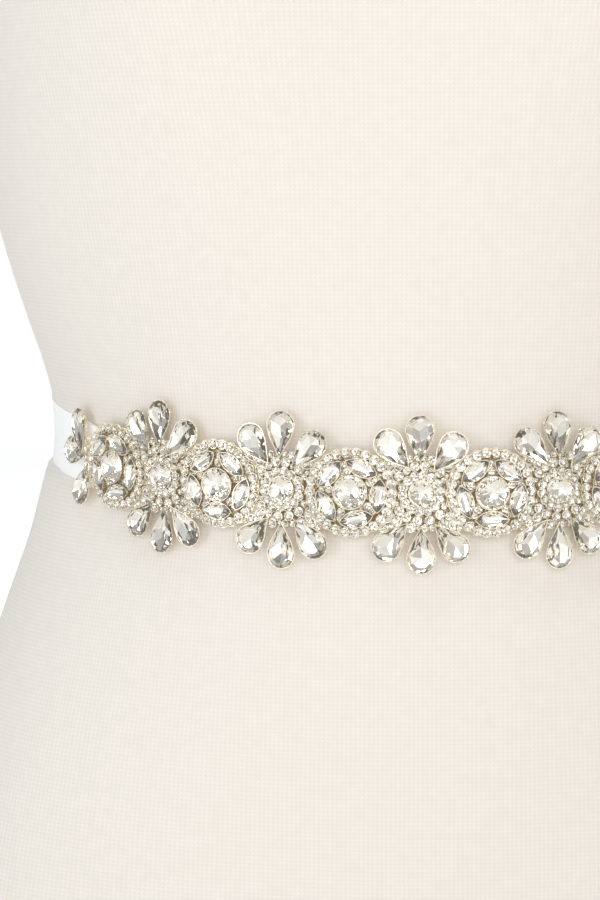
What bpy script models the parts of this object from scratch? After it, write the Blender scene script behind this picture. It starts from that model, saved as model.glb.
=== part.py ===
"""A jewelled ribbon sash tied round the waist of a limbless dress form.

The form stands on its own flat base at z = 0 and faces -Y. The ribbon lies on the form's
waist, the jewelled motifs lie on the ribbon, and a knot with two tails closes it at the back.
Left and right in the names are as seen from the front, so left is towards -X.
Every piece that lies on another is made from the form's own surface points, moved outwards.
All the named sizes are in millimetres, and the meshes are written in metres.
"""

import math
from bisect import bisect_right
from collections import namedtuple

import bmesh
import bpy
from mathutils import Vector

MM = 0.001

# Clearances between pieces that touch on the real sash
SEAM = 0.3
RIBBON_LIFT = 0.5

# The dress form, from its floor to its neck
WAIST_HEIGHT = 270.0
FORM_COLUMNS = 44
BUST_ACROSS = 74.0
BUST_ABOVE_WAIST = 158.0
BUST_RISE = 27.0
BUST_REACH = (54.0, 54.0)

Section = namedtuple("Section", "above_waist half_width front back fullness centre_y")
FORM_SECTIONS = (
    Section(-270.0, 150.0, 100.0, 104.0, 0.06, 4.0),
    Section(-262.0, 154.5, 103.5, 108.0, 0.06, 4.0),
    Section(-235.0, 157.5, 106.0, 113.0, 0.05, 4.0),
    Section(-190.0, 158.5, 107.0, 118.0, 0.04, 4.0),
    Section(-145.0, 153.5, 107.0, 115.0, 0.03, 3.0),
    Section(-100.0, 142.0, 106.0, 103.0, 0.0, 2.0),
    Section(-60.0, 128.8, 104.5, 90.5, -0.05, 1.0),
    Section(-34.0, 119.2, 102.4, 83.0, -0.065, 0.0),
    Section(-20.0, 113.8, 101.0, 79.8, -0.055, 0.0),
    Section(-10.0, 110.9, 100.3, 78.4, -0.02, 0.0),
    Section(0.0, 110.0, 100.0, 78.0, 0.0, 0.0),
    Section(10.0, 110.9, 100.2, 78.4, 0.0, 0.0),
    Section(20.0, 113.6, 100.8, 79.6, 0.0, 0.0),
    Section(34.0, 118.6, 101.8, 82.2, 0.0, 0.0),
    Section(60.0, 127.2, 103.6, 87.5, 0.0, 0.0),
    Section(100.0, 135.0, 106.0, 94.0, 0.0, 2.0),
    Section(150.0, 139.5, 104.0, 99.0, 0.02, 4.0),
    Section(200.0, 143.0, 97.0, 103.0, 0.05, 6.0),
    Section(245.0, 153.0, 84.0, 103.0, 0.08, 8.0),
    Section(290.0, 168.0, 68.0, 95.0, 0.12, 9.0),
    Section(322.0, 172.0, 56.0, 80.0, 0.15, 10.0),
    Section(344.0, 155.0, 47.0, 67.0, 0.12, 11.0),
    Section(360.0, 122.0, 42.0, 58.0, 0.06, 11.0),
    Section(374.0, 86.0, 41.0, 52.0, 0.02, 10.0),
    Section(390.0, 63.0, 43.0, 49.0, 0.0, 8.0),
    Section(410.0, 55.0, 45.0, 47.0, 0.0, 5.0),
    Section(436.0, 52.5, 45.5, 46.0, 0.0, 2.0),
    Section(442.0, 49.0, 42.5, 43.0, 0.0, 2.0),
)
EXTRA_RINGS = (-27.0, -4.5, 4.5, 27.0, 80.0, 118.0, 135.0, 165.0, 182.0, 306.0, 334.0, 353.0, 367.0)

# The ribbon and the way it goes round the waist
RIBBON_WIDTH = 19.0
RIBBON_THICK = 1.0
BELT_TILT = math.radians(6.0)
SIDE_RISE = 1.4
SIDE_RISE_FROM = math.radians(50.0)
SIDE_RISE_TO = math.radians(66.0)
BELT_SAMPLES = 720
RIBBON_STEP = 8.0
RIBBON_ROWS = (-1.0, -0.5, 0.0, 0.5, 1.0)
RIBBON_TUCK = 0.5
GATHER_LENGTH = 46.0
GATHER_HALF_WIDTH = 5.6
GATHER_RISE = 2.6
GATHER_FOLD = 1.0

# The knot at the back and the two tails under it
KNOT_HALF = (9.6, 5.4, 10.2)
KNOT_COLUMNS = 16
KNOT_ROWS = 9
KNOT_CREASE = 0.10
TAIL_ROWS = (-1.0, -0.5, 0.0, 0.5, 1.0)
TAIL_STEPS = 22
TAIL_ROOT_HALF_WIDTH = 4.2
TAIL_OPEN_LENGTH = 46.0
TAIL_FOLD = 1.5
TAIL_SLANT = 9.0
TAIL_WAVES = 2.3
TAIL_TWIST = 0.8
TAIL_ROOT_LIFT = 2.4
TAIL_ROOT_APART = 4.6
Tail = namedtuple("Tail", "name side length drift ripple phase")
TAILS = (
    Tail("ribbon_tail_left", -1, 205.0, 46.0, 1.5, 0.4),
    Tail("ribbon_tail_right", 1, 190.0, 58.0, 1.8, 2.1),
)

# The jewelled motifs, alternately flowers and medallions, lying on the ribbon
PITCH = 19.4
FLOWERS = (-4, -2, 0, 2, 4)
MEDALLIONS = (-5, -3, -1, 1, 3, 5)
FACET_SLACK = 0.15
PLATE_LIFT = RIBBON_LIFT + RIBBON_THICK + SEAM + FACET_SLACK
PEAR_TIP_HEIGHT = 22.3
PEAR_LEAN = 1.1
MEDALLION_RADIUS = 12.5
MEDALLION_SIDES = 24
CORE_RADIUS = 9.6
CORE_SIDES = 24

# Cut stones: sizes across, and heights above the motif's underside
PEAR_LENGTH = 13.4
PEAR_RADIUS = 4.2
PEAR_BULGE = 0.35
NAVETTE_HALF = (4.7, 2.3)
NAVETTE_RING = 8.0
NAVETTES = 5
ROUND_RADIUS = 4.9
CENTRE_RADIUS = 3.8
Stone = namedtuple("Stone", "base girdle table table_share")
PEAR = Stone(0.3, 2.5, 4.3, 0.58)
NAVETTE = Stone(0.4, 2.4, 3.7, 0.5)
ROUND = Stone(0.5, 3.2, 5.1, 0.6)
CENTRE = Stone(0.5, 2.9, 4.5, 0.6)
PLATE_TOP = 1.6
PAVE_TOP = 2.3
RIM_TOP = 2.6
RIM_INNER = 10.6
FLOWER_PEARS = (
    # direction in degrees, outer reach from the flower's centre
    (90.0, 22.3),
    (56.0, 21.0),
    (124.0, 21.0),
    (270.0, 22.3),
    (304.0, 21.2),
    (236.0, 21.2),
)
SPRAY_ROOT = PITCH * 5 + MEDALLION_RADIUS + SEAM
SPRAY_PEARS = (
    # direction in degrees, distance of the point past the root, height of the point
    (180.0, 0.9, 0.0),
    (107.0, 1.7, 1.0),
    (260.0, 1.9, -2.0),
)
SPRAY_HUB = (3.5, 3.5)
SPRAY_HUB_SIDES = 12

RIBBON_COLOUR = (0.93, 0.92, 0.91)
FORM_COLOUR = (0.86, 0.81, 0.73)
JEWEL_COLOUR = (0.80, 0.79, 0.74)


# The form's surface

def smooth_between(low, high, value):
    share = min(1.0, max(0.0, (value - low) / (high - low)))
    return share * share * (3.0 - 2.0 * share)


def section_at(above_waist):
    """The form's section at a height, on a smooth curve through the table's rows."""
    heights = [row.above_waist for row in FORM_SECTIONS]
    last = len(heights) - 1
    index = min(max(bisect_right(heights, above_waist) - 1, 0), last - 1)
    span = heights[index + 1] - heights[index]
    share = min(1.0, max(0.0, (above_waist - heights[index]) / span))

    def slope(row, column):
        before, after = max(row - 1, 0), min(row + 1, last)
        rise = FORM_SECTIONS[after][column] - FORM_SECTIONS[before][column]
        return rise / (heights[after] - heights[before])

    values = []
    for column in range(1, len(Section._fields)):
        start = FORM_SECTIONS[index][column]
        end = FORM_SECTIONS[index + 1][column]
        lean_out = slope(index, column) * span
        lean_in = slope(index + 1, column) * span
        bend = share * share * (3.0 - 2.0 * share)
        values.append(
            start + (end - start) * bend
            + lean_out * share * (1.0 - share) ** 2
            - lean_in * share * share * (1.0 - share)
        )
    return Section(above_waist, *values)


def form_point(turn, above_waist):
    """A point on the form. turn is 0 at the front and grows towards the wearer's left, +X."""
    row = section_at(above_waist)
    sine, cosine = math.sin(turn), math.cos(turn)
    across = sine * (1.0 + row.fullness - row.fullness * sine * sine)
    along = cosine * (1.0 + row.fullness - row.fullness * cosine * cosine)
    depth = row.front if cosine > 0.0 else row.back
    x = row.half_width * across
    y = row.centre_y - depth * along
    rise = 0.0
    for side in (-1, 1):
        off_x = (x - side * BUST_ACROSS) / BUST_REACH[0]
        off_z = (above_waist - BUST_ABOVE_WAIST) / BUST_REACH[1]
        rise += math.exp(-off_x * off_x - off_z * off_z)
    y -= BUST_RISE * rise * smooth_between(0.0, 0.6, cosine)
    return Vector((x, y, WAIST_HEIGHT + above_waist))


def form_normal(turn, above_waist):
    step_turn, step_up = 0.004, 0.5
    along = form_point(turn + step_turn, above_waist) - form_point(turn - step_turn, above_waist)
    up = form_point(turn, above_waist + step_up) - form_point(turn, above_waist - step_up)
    return along.cross(up).normalized()


# The belt's line round the waist: places on it are (round, up, out)

def belt_height(turn):
    """How far above the waist the belt's middle line lies: low at the front, high at the back."""
    rise = SIDE_RISE * smooth_between(SIDE_RISE_FROM, SIDE_RISE_TO, abs(turn))
    height = rise
    for _ in range(3):
        height = rise + math.tan(BELT_TILT) * form_point(turn, height).y
    return height


def belt_turns():
    """The turns and heights of the belt's middle line, and how far round each one lies."""
    rows = []
    for k in range(-BELT_SAMPLES // 2, BELT_SAMPLES // 2 + 1):
        turn = 2.0 * math.pi * k / BELT_SAMPLES
        height = belt_height(turn)
        rows.append((turn, height, form_point(turn, height)))
    middle = BELT_SAMPLES // 2
    lengths = [0.0]
    for before, after in zip(rows, rows[1:]):
        lengths.append(lengths[-1] + (after[2] - before[2]).length)
    zero = lengths[middle]
    return [(length - zero, turn, height) for length, (turn, height, _) in zip(lengths, rows)]


BELT = belt_turns()
BELT_ROUND = [row[0] for row in BELT]
HALF_ROUND = BELT_ROUND[-1]


def belt_line(round_mm):
    """Turn and height of the middle line at a distance round from the centre front."""
    index = min(max(bisect_right(BELT_ROUND, round_mm) - 1, 0), len(BELT) - 2)
    near, far = BELT[index], BELT[index + 1]
    share = (round_mm - near[0]) / (far[0] - near[0])
    return near[1] + (far[1] - near[1]) * share, near[2] + (far[2] - near[2]) * share


def belt_point(round_mm, up, out):
    """The point that far round the belt, straight up across it, and out from the form."""
    turn, middle = belt_line(round_mm)
    return form_point(turn, middle + up) + form_normal(turn, middle + up) * out


def motif_point(round_mm, up, rise):
    """A point of a motif, which lies on the ribbon and leans in to the form past its edges."""
    lean = smooth_between(RIBBON_WIDTH / 2.0, PEAR_TIP_HEIGHT, abs(up))
    return belt_point(round_mm, up, PLATE_LIFT - PEAR_LEAN * lean + rise)


# Mesh helpers

def material(name, colour, roughness, metallic=0.0):
    made = bpy.data.materials.new(name)
    made.use_nodes = True
    shader = made.node_tree.nodes["Principled BSDF"]
    shader.inputs["Base Color"].default_value = (*colour, 1.0)
    shader.inputs["Roughness"].default_value = roughness
    shader.inputs["Metallic"].default_value = metallic
    return made


def new_object(name, points, faces, finish, smooth_angle=35.0):
    """One closed mesh from points in millimetres."""
    mesh = bpy.data.meshes.new(name)
    mesh.from_pydata([tuple(point * MM) for point in points], [], faces)
    shell = bmesh.new()
    shell.from_mesh(mesh)
    bmesh.ops.recalc_face_normals(shell, faces=shell.faces)
    shell.to_mesh(mesh)
    shell.free()
    mesh.shade_smooth()
    mesh.set_sharp_from_angle(angle=math.radians(smooth_angle))
    mesh.materials.append(finish)
    made = bpy.data.objects.new(name, mesh)
    bpy.context.scene.collection.objects.link(made)
    return made


def loft_faces(rings, sides, first=0):
    """Quads between closed rings of points, and a fan cap is left to the caller."""
    faces = []
    for ring in range(rings - 1):
        for side in range(sides):
            after = (side + 1) % sides
            low, high = first + ring * sides, first + (ring + 1) * sides
            faces.append((low + side, low + after, high + after, high + side))
    return faces


def fan_faces(centre, first, sides):
    return [(centre, first + side, first + (side + 1) % sides) for side in range(sides)]


def wall(name, outer, inner, finish):
    """A cloth wall between two grids of points, closed along its four edges."""
    rows, columns = len(outer), len(outer[0])
    count = rows * columns
    points = [point for row in outer for point in row] + [point for row in inner for point in row]
    faces = []
    for row in range(rows - 1):
        for column in range(columns - 1):
            a = row * columns + column
            b, c, d = a + 1, a + columns + 1, a + columns
            faces.append((a, b, c, d))
            faces.append((a + count, d + count, c + count, b + count))
    edge = [column for column in range(columns)]
    edge += [row * columns + columns - 1 for row in range(1, rows)]
    edge += [(rows - 1) * columns + column for column in range(columns - 2, -1, -1)]
    edge += [row * columns for row in range(rows - 2, 0, -1)]
    for here, after in zip(edge, edge[1:] + edge[:1]):
        faces.append((here, here + count, after + count, after))
    return new_object(name, points, faces, finish)


def unite(name, solids, finish):
    """Joins overlapping closed solids into the first one, as one body."""
    whole = solids[0]
    for other in solids[1:]:
        cut = whole.modifiers.new("join", "BOOLEAN")
        cut.operation = "UNION"
        cut.solver = "EXACT"
        cut.object = other
        other.hide_render = True
        other.display_type = "WIRE"
    bpy.context.view_layer.update()
    graph = bpy.context.evaluated_depsgraph_get()
    mesh = bpy.data.meshes.new_from_object(whole.evaluated_get(graph))
    whole.modifiers.clear()
    whole.data = mesh
    whole.name = name
    mesh.name = name
    mesh.shade_smooth()
    mesh.set_sharp_from_angle(angle=math.radians(20.0))
    mesh.materials.clear()
    mesh.materials.append(finish)
    for other in solids[1:]:
        bpy.data.objects.remove(other)
    return whole


# The dress form

def build_form(finish):
    heights = sorted([row.above_waist for row in FORM_SECTIONS] + list(EXTRA_RINGS))
    points = []
    for height in heights:
        for column in range(FORM_COLUMNS):
            points.append(form_point(2.0 * math.pi * column / FORM_COLUMNS, height))
    faces = loft_faces(len(heights), FORM_COLUMNS)
    base_centre, neck_centre = len(points), len(points) + 1
    points.append(Vector((0.0, section_at(heights[0]).centre_y, WAIST_HEIGHT + heights[0])))
    points.append(Vector((0.0, section_at(heights[-1]).centre_y, WAIST_HEIGHT + heights[-1])))
    faces += fan_faces(base_centre, 0, FORM_COLUMNS)
    faces += fan_faces(neck_centre, (len(heights) - 1) * FORM_COLUMNS, FORM_COLUMNS)
    new_object("dress_form", points, faces, finish)


# The ribbon round the waist

def gather_at(round_mm):
    """How far the ribbon is drawn in to the knot, from 0 on its flat stretch to 1."""
    from_knot = HALF_ROUND - KNOT_HALF[0] + RIBBON_TUCK - abs(round_mm)
    return 1.0 - smooth_between(0.0, GATHER_LENGTH, from_knot)


def ribbon_place(round_mm, row):
    """Height and lift of one lengthwise row of the ribbon."""
    gather = gather_at(round_mm)
    half = RIBBON_WIDTH / 2.0 * (1.0 - gather) + GATHER_HALF_WIDTH * gather
    fold = GATHER_FOLD * gather * (1.0 - math.cos(2.0 * math.pi * row)) / 2.0
    return half * row, RIBBON_LIFT + GATHER_RISE * gather * (1.0 - row * row) + fold


def build_ribbon(finish):
    end = HALF_ROUND - KNOT_HALF[0] + RIBBON_TUCK
    steps = 2 * math.ceil(end / RIBBON_STEP)
    outer, inner = [], []
    for row in RIBBON_ROWS:
        outside, inside = [], []
        for step in range(steps + 1):
            round_mm = -end + 2.0 * end * step / steps
            up, lift = ribbon_place(round_mm, row)
            inside.append(belt_point(round_mm, up, lift))
            outside.append(belt_point(round_mm, up, lift + RIBBON_THICK))
        outer.append(outside)
        inner.append(inside)
    wall("ribbon_band", outer, inner, finish)


# The knot, a rounded bundle with one crease round it, and the tails that leave it

def build_knot(finish):
    centre = belt_point(HALF_ROUND, 0.0, KNOT_HALF[1] + RIBBON_LIFT)
    points = []
    for row in range(1, KNOT_ROWS):
        polar = math.pi * row / KNOT_ROWS
        ring = math.sin(polar) ** 0.6
        for column in range(KNOT_COLUMNS):
            turn = 2.0 * math.pi * column / KNOT_COLUMNS
            crease = 1.0 - KNOT_CREASE * math.cos(polar) ** 2 * abs(math.sin(turn))
            x = KNOT_HALF[0] * ring * math.cos(turn) * crease
            y = KNOT_HALF[1] * ring * math.sin(turn)
            z = KNOT_HALF[2] * math.copysign(abs(math.cos(polar)) ** 0.8, math.cos(polar))
            points.append(centre + Vector((x, y, z)))
    faces = loft_faces(KNOT_ROWS - 1, KNOT_COLUMNS)
    top, bottom = len(points), len(points) + 1
    points.append(centre + Vector((0.0, 0.0, KNOT_HALF[2])))
    points.append(centre - Vector((0.0, 0.0, KNOT_HALF[2])))
    faces += fan_faces(top, 0, KNOT_COLUMNS)
    faces += fan_faces(bottom, (KNOT_ROWS - 2) * KNOT_COLUMNS, KNOT_COLUMNS)
    new_object("ribbon_knot", points, faces, finish)


def tail_point(tail, row, share, out):
    """A point of a tail: share runs from its root to its cut end, row across it."""
    along = tail.length * share + TAIL_SLANT * row * tail.side * share ** 6
    opening = smooth_between(0.0, TAIL_OPEN_LENGTH, along)
    half = TAIL_ROOT_HALF_WIDTH + (RIBBON_WIDTH / 2.0 - TAIL_ROOT_HALF_WIDTH) * opening
    knot_foot = belt_height(math.pi) - KNOT_HALF[2] - SEAM
    lean = math.atan2(tail.drift, tail.length)
    middle_x = tail.side * (TAIL_ROOT_APART + tail.drift * share)
    x = middle_x + half * row * math.cos(lean)
    height = knot_foot - along * math.cos(lean) + half * row * tail.side * math.sin(lean)
    turn = math.pi - math.asin(x / section_at(height).half_width)
    fold = TAIL_FOLD * (1.0 - opening * 0.8) * (1.0 - abs(row))
    swing = 2.0 * math.pi * TAIL_WAVES * share + tail.phase + TAIL_TWIST * row
    wave = tail.ripple * opening * (1.0 + math.sin(swing))
    lift = RIBBON_LIFT + TAIL_ROOT_LIFT * (1.0 - opening) + fold + wave
    return form_point(turn, height) + form_normal(turn, height) * (lift + out)


def build_tail(tail, finish):
    outer, inner = [], []
    for row in TAIL_ROWS:
        shares = [step / TAIL_STEPS for step in range(TAIL_STEPS + 1)]
        outer.append([tail_point(tail, row, share, RIBBON_THICK) for share in shares])
        inner.append([tail_point(tail, row, share, 0.0) for share in shares])
    wall(tail.name, outer, inner, finish)


# The stones, as outlines that are lofted from a foot up to a girdle and a flat table

def round_outline(radius, sides):
    return [
        (radius * math.cos(2.0 * math.pi * k / sides), radius * math.sin(2.0 * math.pi * k / sides))
        for k in range(sides)
    ]


def pear_outline():
    """A teardrop from its point at the origin to its round end along +x."""
    middle = PEAR_LENGTH - PEAR_RADIUS
    slant = math.asin(PEAR_RADIUS / middle)
    reach = math.pi / 2.0 + slant
    arc = [
        (middle + PEAR_RADIUS * math.cos(angle), PEAR_RADIUS * math.sin(angle))
        for angle in (reach * (k / 4.0 - 1.0) for k in range(9))
    ]
    touch = (middle + PEAR_RADIUS * math.cos(reach), PEAR_RADIUS * math.sin(reach))
    side = (
        touch[0] * 0.5 - PEAR_BULGE * math.sin(slant),
        touch[1] * 0.5 + PEAR_BULGE * math.cos(slant),
    )
    return [(0.0, 0.0), (side[0], -side[1])] + arc + [side]


def navette_outline():
    half_length, half_width = NAVETTE_HALF
    upper = [
        (half_length * (1.0 - k / 2.0), half_width * (1.0 - (1.0 - k / 2.0) ** 2) ** 0.9)
        for k in range(5)
    ]
    return upper + [(x, -y) for x, y in upper[3:0:-1]]


def placed(outline, share, heading, at):
    """The outline shrunk about its middle, turned to a heading and moved to a place."""
    middle = (
        (min(x for x, _ in outline) + max(x for x, _ in outline)) / 2.0,
        (min(y for _, y in outline) + max(y for _, y in outline)) / 2.0,
    )
    cosine, sine = math.cos(heading), math.sin(heading)
    points = []
    for x, y in outline:
        px = middle[0] + (x - middle[0]) * share
        py = middle[1] + (y - middle[1]) * share
        points.append((at[0] + px * cosine - py * sine, at[1] + px * sine + py * cosine))
    return points


def stone(outline, cut, heading, at, finish):
    """One stone in its setting at a place of the belt, as a closed solid."""
    levels = (
        (0.9, cut.base),
        (1.0, cut.girdle),
        (cut.table_share, cut.table),
    )
    points = []
    for share, height in levels:
        for x, y in placed(outline, share, heading, at):
            points.append(motif_point(x, y, height))
    sides = len(outline)
    faces = loft_faces(len(levels), sides)
    middle = placed(outline, 0.0, heading, at)[0]
    for (_, height), first in ((levels[0], 0), (levels[-1], (len(levels) - 1) * sides)):
        points.append(motif_point(*middle, height))
        faces += fan_faces(len(points) - 1, first, sides)
    return new_object("stone", points, faces, finish)


def plate(rings, centre, top, finish):
    """A plate from rings of (place, height), from its middle over its edge to its underside."""
    sides = len(rings[0][0])
    points = []
    for outline, height in rings:
        for x, y in outline:
            points.append(motif_point(x, y, height))
    faces = loft_faces(len(rings), sides)
    for height, first in ((top, 0), (0.0, (len(rings) - 1) * sides)):
        points.append(motif_point(*centre, height))
        faces += fan_faces(len(points) - 1, first, sides)
    return new_object("plate", points, faces, finish)


# The motifs

def build_medallion(name, place, finish):
    """A ring of small stones round five pointed ovals and one large round stone."""
    at = (place * PITCH, 0.0)

    def ring(radius):
        return placed(round_outline(radius, MEDALLION_SIDES), 1.0, 0.0, at)

    rings = [
        (ring(RIM_INNER), PLATE_TOP),
        (ring(RIM_INNER + 0.5), RIM_TOP),
        (ring(MEDALLION_RADIUS - 0.4), RIM_TOP),
        (ring(MEDALLION_RADIUS), PLATE_TOP),
        (ring(MEDALLION_RADIUS), 0.0),
    ]
    solids = [plate(rings, at, PLATE_TOP, finish)]
    solids.append(stone(round_outline(ROUND_RADIUS, 12), ROUND, 0.0, at, finish))
    lean = math.radians(-18.0 if place % 4 == 1 else -5.0)
    for k in range(NAVETTES):
        direction = lean + 2.0 * math.pi * k / NAVETTES
        spot = (
            at[0] + NAVETTE_RING * math.cos(direction),
            at[1] + NAVETTE_RING * math.sin(direction),
        )
        solids.append(stone(navette_outline(), NAVETTE, direction + math.pi / 2.0, spot, finish))
    unite(name, solids, finish)


def core_reach(direction):
    """How far a flower's paved middle reaches before it meets a medallion."""
    gap = MEDALLION_RADIUS + SEAM
    across, beside = PITCH * abs(math.cos(direction)), PITCH * math.sin(direction)
    room = gap * gap - beside * beside
    if room <= 0.0:
        return CORE_RADIUS
    return min(CORE_RADIUS, across - math.sqrt(room))


def build_flower(name, place, finish):
    """A paved middle round one stone, with three teardrops above it and three below."""
    at = (place * PITCH, 0.0)

    def ring(share):
        points = []
        for k in range(CORE_SIDES):
            direction = 2.0 * math.pi * (k + 0.5) / CORE_SIDES
            reach = core_reach(direction) * share
            points.append((at[0] + reach * math.cos(direction), at[1] + reach * math.sin(direction)))
        return points

    rings = [
        (ring(0.93), PAVE_TOP),
        (ring(1.0), PAVE_TOP * 0.6),
        (ring(1.0), 0.0),
    ]
    solids = [plate(rings, at, PAVE_TOP, finish)]
    solids.append(stone(round_outline(CENTRE_RADIUS, 10), CENTRE, 0.0, at, finish))
    for degrees, reach in FLOWER_PEARS:
        direction = math.radians(degrees)
        root = reach - PEAR_LENGTH
        spot = (at[0] + root * math.cos(direction), root * math.sin(direction))
        solids.append(stone(pear_outline(), PEAR, direction, spot, finish))
    unite(name, solids, finish)


def build_spray(name, side, finish):
    """The end of the jewelled stretch: three teardrops that fan out from a small hub."""
    hub = (side * (SPRAY_ROOT + SPRAY_HUB[0]), 0.0)
    outline = placed(round_outline(SPRAY_HUB[1], SPRAY_HUB_SIDES), 1.0, 0.0, hub)
    solids = [plate([(outline, PAVE_TOP), (outline, 0.0)], hub, PAVE_TOP, finish)]
    for degrees, past, height in SPRAY_PEARS:
        direction = math.radians(degrees if side < 0 else 180.0 - degrees)
        spot = (side * (SPRAY_ROOT + past), height)
        solids.append(stone(pear_outline(), PEAR, direction, spot, finish))
    unite(name, solids, finish)


def main():
    for old in list(bpy.data.objects):
        bpy.data.objects.remove(old)
    jersey = material("ivory_jersey", FORM_COLOUR, 0.85)
    satin = material("white_satin", RIBBON_COLOUR, 0.35)
    crystal = material("crystal_in_silver", JEWEL_COLOUR, 0.15, 0.6)
    build_form(jersey)
    build_ribbon(satin)
    build_knot(satin)
    for tail in TAILS:
        build_tail(tail, satin)
    for number, place in enumerate(FLOWERS, 1):
        build_flower(f"flower_{number}", place, crystal)
    for number, place in enumerate(MEDALLIONS, 1):
        build_medallion(f"medallion_{number}", place, crystal)
    build_spray("spray_left", -1, crystal)
    build_spray("spray_right", 1, crystal)


main()
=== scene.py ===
"""The jewelled ribbon sash and its dress form, dressed for looking at.

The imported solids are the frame. The form gets a finer skin and a knitted jersey, the ribbon is
a thin satin strip, and each motif is set with cut stones in silver cups. Sizes are in
millimetres and become metres where a mesh is made. Places on the belt are given as around,
from the centre front towards the wearer's left, up, from the ribbon's middle line, and out,
from the form's skin.
"""

import math
from bisect import bisect_right
from collections import namedtuple

import bmesh
import bpy
from mathutils import Matrix, Vector
from mathutils.bvhtree import BVHTree


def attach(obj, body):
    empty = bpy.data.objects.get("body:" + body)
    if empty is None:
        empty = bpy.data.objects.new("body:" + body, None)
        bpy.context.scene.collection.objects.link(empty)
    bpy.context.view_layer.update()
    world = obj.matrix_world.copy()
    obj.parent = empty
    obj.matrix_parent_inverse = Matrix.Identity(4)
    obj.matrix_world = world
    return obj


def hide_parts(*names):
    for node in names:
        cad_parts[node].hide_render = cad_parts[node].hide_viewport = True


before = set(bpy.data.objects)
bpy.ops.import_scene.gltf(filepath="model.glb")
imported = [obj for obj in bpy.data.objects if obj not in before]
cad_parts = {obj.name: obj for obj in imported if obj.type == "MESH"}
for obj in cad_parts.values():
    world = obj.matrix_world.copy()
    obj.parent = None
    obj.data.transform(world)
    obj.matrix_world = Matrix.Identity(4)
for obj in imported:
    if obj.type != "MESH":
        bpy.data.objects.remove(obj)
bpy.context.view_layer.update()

MM = 0.001

# The belt's line on the form
WAIST_HEIGHT = 270.0
BELT_TILT = math.radians(6.0)
SIDE_RISE = 1.4
SIDE_RISE_FROM = math.radians(52.6)
SIDE_RISE_TO = math.radians(68.0)
BELT_SAMPLES = 720
SLOPE_STEP = 2.0

# The form's skin swells a little below the drawn ribbon, at the sides and the back
SKIN_WELD = 0.01
SWELL = 1.7
SWELL_RISE = (9.6, 12.5)
SWELL_FALL = (16.0, 38.0)
SWELL_FROM = (math.radians(60.0), math.radians(70.0))

# The ribbon
RIBBON_WIDTH = 19.0
RIBBON_OUT = 1.75
RIBBON_EASE = (106.0, 118.0)
RIBBON_EASED_OUT = 0.6
EDGE_CURL = 0.2
EDGE_CURL_FROM = 0.55
SATIN_THICK = 0.35
RIBBON_CELLS = (440, 18)
RIBBON_TUCK = 0.5
GATHER_LENGTH = 46.0
GATHER_HALF_WIDTH = 5.6
GATHER_RISE = 2.6
GATHER_PLEAT = 0.8
GATHER_PLEATS = 3.0

# The knot: half its width, depth and height, how far inside them its bundle starts, and the
# turn of ribbon that wraps it on a slant
KNOT_HALF = (9.6, 5.4, 10.2)
KNOT_INSIDE = (0.8, 0.6, 0.4)
KNOT_CELLS = (72, 40)
KNOT_OFF_SKIN = 0.5
KNOT_SLANT = math.radians(24.0)
KNOT_WRAP_EDGE = (0.42, 0.56)
KNOT_WRAP_RISE = 0.9
KNOT_WRAP_FOLDS = (7.0, 0.8)
KNOT_BUNDLE_FOLDS = (2.0, 6.0)
KNOT_CREASE = 0.35
KNOT_POLE = 0.05
KNOT_FULLNESS = -0.4
KNOT_FLATNESS = 0.8

# The tails
TAIL_CELLS = (140, 14)
TAIL_ROOT_HALF_WIDTH = 4.2
TAIL_OPEN_LENGTH = 46.0
TAIL_FOLD = 1.2
TAIL_FOLD_LOST = 0.8
TAIL_BELOW_KNOT = 0.3
TAIL_SLANT = 9.0
TAIL_SLANT_POWER = 6
TAIL_WAVES = 2.3
TAIL_TWIST = 0.8
TAIL_OUT = 0.75
TAIL_ROOT_LIFT = 2.6
TAIL_ROOT_APART = 4.6
Tail = namedtuple("Tail", "name side length drift ripple phase")
TAILS = (
    Tail("tail_left", -1, 205.0, 46.0, 1.2, 0.4),
    Tail("tail_right", 1, 190.0, 58.0, 1.4, 2.1),
)

# The motifs: a ring is how many stones there are and how far out they sit
PITCH = 19.4
FLOWERS = (-4, -2, 0, 2, 4)
MEDALLIONS = (-5, -3, -1, 1, 3, 5)
MOTIF_OUT = 1.95
STONE_LEAN = math.radians(2.5)
PEAR_TIP_HEIGHT = 22.3
PEAR_LEAN = 1.1
FLOWER_PEARS = (
    # place of the head's middle from the flower's centre, direction of the head in degrees
    (-0.4, 18.0, 91.0),
    (8.8, 13.2, 50.0),
    (-9.1, 14.0, 131.0),
    (0.0, -18.4, 270.0),
    (9.3, -15.2, 311.0),
    (-9.5, -15.0, 229.0),
)
PEAR_LAP = 0.25
FLOWER_CENTRE_SHARE = 0.78
FLOWER_RING = (14, 5.15)
FLOWER_RING_TURN = 0.25
FIELD_UP = 11.2
MEDALLION_RADIUS = 12.5
MEDALLION_LEAN = math.radians(-5.0)
MEDALLION_OTHER_LEAN = math.radians(-18.0)
MEDALLION_TURN = math.radians(11.0)
NAVETTE_RING = 7.8
NAVETTES = 5
RIM_RING = (26, 11.3)
RIM_WIRE = (12.55, 0.2)
RIM_WIRE_SIDES = 6
RIM_WIRE_UP = 0.7
RIM_SCALLOP = 0.022
SPRAY_ROOT = PITCH * 5 + MEDALLION_RADIUS + 0.3
SPRAY_PEARS = (
    # direction in degrees, distance of the point past the root, height of the point
    (180.0, 0.9, 0.0),
    (107.0, 1.7, 1.0),
    (260.0, 1.9, -2.0),
)
SPRAY_COLUMN = (-4.8, -2.4, 0.0, 2.4, 4.8)
SPRAY_COLUMN_PAST = 1.6
SPRAY_COLUMN_SHARE = 0.9

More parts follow.
